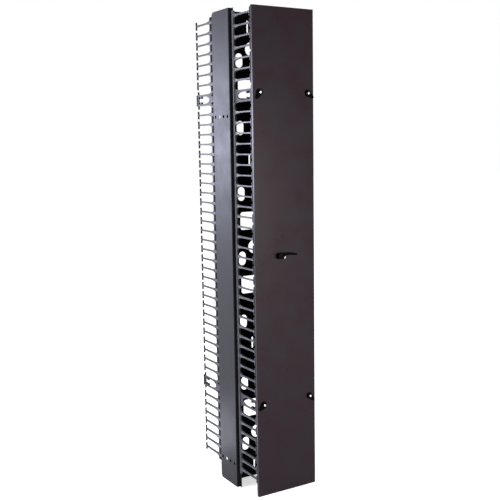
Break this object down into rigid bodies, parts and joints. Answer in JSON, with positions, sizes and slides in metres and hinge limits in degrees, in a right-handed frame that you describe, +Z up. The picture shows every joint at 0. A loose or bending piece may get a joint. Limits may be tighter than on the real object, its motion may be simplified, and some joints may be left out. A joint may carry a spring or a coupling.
{
  "type": "vertical cable manager",
  "caption": "Tall double-sided vertical cable manager for server racks, with T-headed cable fingers, a ported mid panel and a hinged front door.",
  "frame": {"origin": "on the floor at the foot of the mid panel, midway between the two side walls and in the middle of the panel's sheet", "axes": "+Z up, -Y towards the door, +X to the right of someone who faces the door"},
  "size_m": [0.33, 0.5396, 2.121],
  "materials": {
    "frame_steel": "satin textured black powder coat",
    "panel_steel": "satin black powder coat",
    "door_steel": "satin black powder coat",
    "moulding": "satin black moulded plastic",
    "block": "satin black die casting",
    "hardware": "smooth satin black",
    "fastener": "black zinc",
    "pin": "bright zinc"
  },
  "bodies": {
    "frame": {"side_channel_left": "frame_steel", "side_channel_right": "frame_steel", "mid_panel": "panel_steel", "comb_screws": "fastener", "bracket_screws": "fastener", "hinge_pins_front": "pin", "hinge_pins_rear": "pin", "finger_comb_front_left_1": "moulding", "finger_comb_front_left_2": "moulding", "finger_comb_front_left_3": "moulding", "finger_comb_front_left_4": "moulding", "finger_comb_front_left_5": "moulding", "finger_comb_front_left_6": "moulding", "finger_comb_front_right_1": "moulding", "finger_comb_front_right_2": "moulding", "finger_comb_front_right_3": "moulding", "finger_comb_front_right_4": "moulding", "finger_comb_front_right_5": "moulding", "finger_comb_front_right_6": "moulding", "finger_comb_rear_left_1": "moulding", "finger_comb_rear_left_2": "moulding", "finger_comb_rear_left_3": "moulding", "finger_comb_rear_left_4": "moulding", "finger_comb_rear_left_5": "moulding", "finger_comb_rear_left_6": "moulding", "finger_comb_rear_right_1": "moulding", "finger_comb_rear_right_2": "moulding", "finger_comb_rear_right_3": "moulding", "finger_comb_rear_right_4": "moulding", "finger_comb_rear_right_5": "moulding", "finger_comb_rear_right_6": "moulding", "door_bracket_front_left_upper": "moulding", "door_bracket_front_left_lower": "moulding", "door_bracket_front_right_upper": "moulding", "door_bracket_front_right_lower": "moulding", "door_bracket_rear_left_upper": "moulding", "door_bracket_rear_left_lower": "moulding", "door_bracket_rear_right_upper": "moulding", "door_bracket_rear_right_lower": "moulding", "hinge_blocks_front_left": "block", "hinge_blocks_front_right": "block", "hinge_blocks_rear_left": "block", "hinge_blocks_rear_right": "block"},
    "door": {"door_pan": "door_steel", "hinge_saddles": "pin", "latch_bushings": "hardware", "bushing_nuts": "pin", "handle_base": "hardware"},
    "latch_upper_left": {"thumb_turn_upper_left": "hardware", "latch_cam_upper_left": "pin"},
    "latch_upper_right": {"thumb_turn_upper_right": "hardware", "latch_cam_upper_right": "pin"},
    "latch_lower_left": {"thumb_turn_lower_left": "hardware", "latch_cam_lower_left": "pin"},
    "latch_lower_right": {"thumb_turn_lower_right": "hardware", "latch_cam_lower_right": "pin"},
    "handle": {"handle_lever": "hardware", "handle_cam": "pin"}
  },
  "joints": [
    {"name": "door_hinge", "type": "hinge", "parent": "frame", "child": "door", "pos_m": [0.143, -0.2385, 0.42028], "axis": [0, 0, 1], "range_deg": [0, 100]},
    {"name": "latch_turn_upper_left", "type": "hinge", "parent": "door", "child": "latch_upper_left", "pos_m": [-0.12, -0.246, 1.76277], "axis": [0, 1, 0], "range_deg": [0, 90]},
    {"name": "latch_turn_upper_right", "type": "hinge", "parent": "door", "child": "latch_upper_right", "pos_m": [0.12, -0.246, 1.76277], "axis": [0, 1, 0], "range_deg": [0, 90]},
    {"name": "latch_turn_lower_left", "type": "hinge", "parent": "door", "child": "latch_lower_left", "pos_m": [-0.12, -0.246, 0.42928], "axis": [0, 1, 0], "range_deg": [0, 90]},
    {"name": "latch_turn_lower_right", "type": "hinge", "parent": "door", "child": "latch_lower_right", "pos_m": [0.12, -0.246, 0.42928], "axis": [0, 1, 0], "range_deg": [0, 90]},
    {"name": "handle_turn", "type": "hinge", "parent": "door", "child": "handle", "pos_m": [-0.029, -0.246, 1.0755], "axis": [0, 1, 0], "range_deg": [0, 90]}
  ]
}
